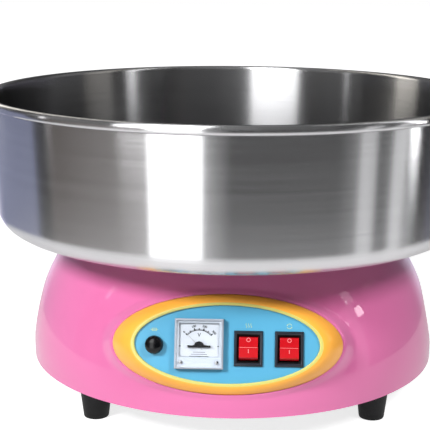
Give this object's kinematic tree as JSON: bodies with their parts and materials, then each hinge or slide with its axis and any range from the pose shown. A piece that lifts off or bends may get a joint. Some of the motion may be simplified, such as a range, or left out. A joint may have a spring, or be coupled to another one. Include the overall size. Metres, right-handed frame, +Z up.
{
  "type": "cotton candy machine",
  "caption": "Electric cotton candy machine: lift-off stainless bowl on a glossy domed pink housing, heated spinner head, oval panel with voltmeter, rocker switches and fuse.",
  "frame": {"origin": "on the table, under the centre of the bowl and of the housing", "axes": "+Z up, the control panel faces -Y, +X to the right of someone who faces the panel"},
  "size_m": [0.5192, 0.5192, 0.3093],
  "materials": {
    "pink_plastic": "glossy moulded pink",
    "yellow_plastic": "glossy warm yellow",
    "blue_plastic": "smooth light blue",
    "white_plastic": "smooth white",
    "dial_white": "matt white dial with plain numbers",
    "black_plastic": "glossy black",
    "slate_plastic": "satin dark slate",
    "red_plastic": "glossy red",
    "brown_insulator": "brown moulded insulator",
    "ceramic": "unglazed off-white ceramic",
    "carbon": "pressed carbon",
    "rubber": "matt black rubber",
    "stainless": "stainless steel brushed round the bowl",
    "steel": "zinc-plated steel",
    "heater_steel": "heat-tinted steel tube",
    "aluminium": "turned aluminium",
    "brass": "plain brass",
    "copper": "copper winding and laminations as one ring",
    "clear_window": "clear"
  },
  "bodies": {
    "root": {"housing_shell": "pink_plastic", "bezel_ring": "yellow_plastic", "control_panel": "blue_plastic", "base_plate": "steel", "foot_front_left": "rubber", "foot_front_right": "rubber", "foot_rear_left": "rubber", "foot_rear_right": "rubber", "cable_gland": "black_plastic", "gland_nut": "black_plastic", "voltmeter_case": "white_plastic", "voltmeter_dial": "dial_white", "voltmeter_window": "clear_window", "voltmeter_movement": "steel", "voltmeter_bridge": "black_plastic", "heater_switch_frame": "slate_plastic", "motor_switch_frame": "slate_plastic", "fuse_holder": "black_plastic", "fuse_holder_nut": "black_plastic", "bowl_seat_gasket": "rubber", "heat_shield": "aluminium", "motor_mount_1": "rubber", "motor_mount_2": "rubber", "motor_mount_3": "rubber", "motor_mount_4": "rubber", "motor_bracket": "steel", "motor_lower_bell": "aluminium", "motor_upper_bell": "aluminium", "motor_can": "steel", "motor_stator": "copper", "lower_bearing": "steel", "upper_bearing": "steel", "motor_bolt_1": "steel", "motor_bolt_2": "steel", "brush_holder": "brown_insulator", "lower_carbon_brush": "carbon", "upper_carbon_brush": "carbon"},
    "spinner": {"motor_shaft": "steel", "motor_rotor": "steel", "slip_ring_sleeve": "brown_insulator", "lower_slip_ring": "brass", "upper_slip_ring": "brass", "head_hub": "aluminium", "head_base": "aluminium", "heater_ring": "heater_steel", "heater_post_1": "ceramic", "heater_post_2": "ceramic", "heater_post_3": "ceramic", "head_screen": "aluminium", "head_cover": "aluminium", "shaft_nut": "steel"},
    "bowl": {"bowl": "stainless"},
    "heater_rocker": {"heater_rocker": "red_plastic"},
    "motor_rocker": {"motor_rocker": "red_plastic"},
    "meter_needle": {"voltmeter_needle": "black_plastic"},
    "fuse_carrier": {"fuse_carrier": "brass", "glass_fuse": "clear_window"},
    "fuse_cap": {"fuse_cap": "black_plastic"}
  },
  "joints": [
    {"name": "head_spin", "type": "hinge", "parent": "root", "child": "spinner", "pos_m": [0, 0, 0.2], "axis": [0, 0, 1], "continuous": true},
    {"name": "bowl_lift", "type": "slide", "parent": "root", "child": "bowl", "axis": [0, 0, 1], "range_m": [0, 0.15]},
    {"name": "heater_switch", "type": "hinge", "parent": "root", "child": "heater_rocker", "pos_m": [0.0198, -0.20312, 0.0943], "axis": [1, 0, 0], "range_deg": [0, 18]},
    {"name": "motor_switch", "type": "hinge", "parent": "root", "child": "motor_rocker", "pos_m": [0.0573, -0.20312, 0.0943], "axis": [1, 0, 0], "range_deg": [0, 18]},
    {"name": "needle_swing", "type": "hinge", "parent": "root", "child": "meter_needle", "pos_m": [-0.0256, -0.20795, 0.09724], "axis": [0, 0.9511, -0.309], "range_deg": [0, 90], "stiffness_Nm_per_rad": 0.00002},
    {"name": "fuse_pull", "type": "slide", "parent": "root", "child": "fuse_carrier", "axis": [0, -0.9511, 0.309], "range_m": [0, 0.035]},
    {"name": "fuse_cap_turn", "type": "hinge", "parent": "fuse_carrier", "child": "fuse_cap", "pos_m": [-0.0672, -0.20868, 0.09821], "axis": [0, -0.9511, 0.309], "range_deg": [0, 90]}
  ]
}
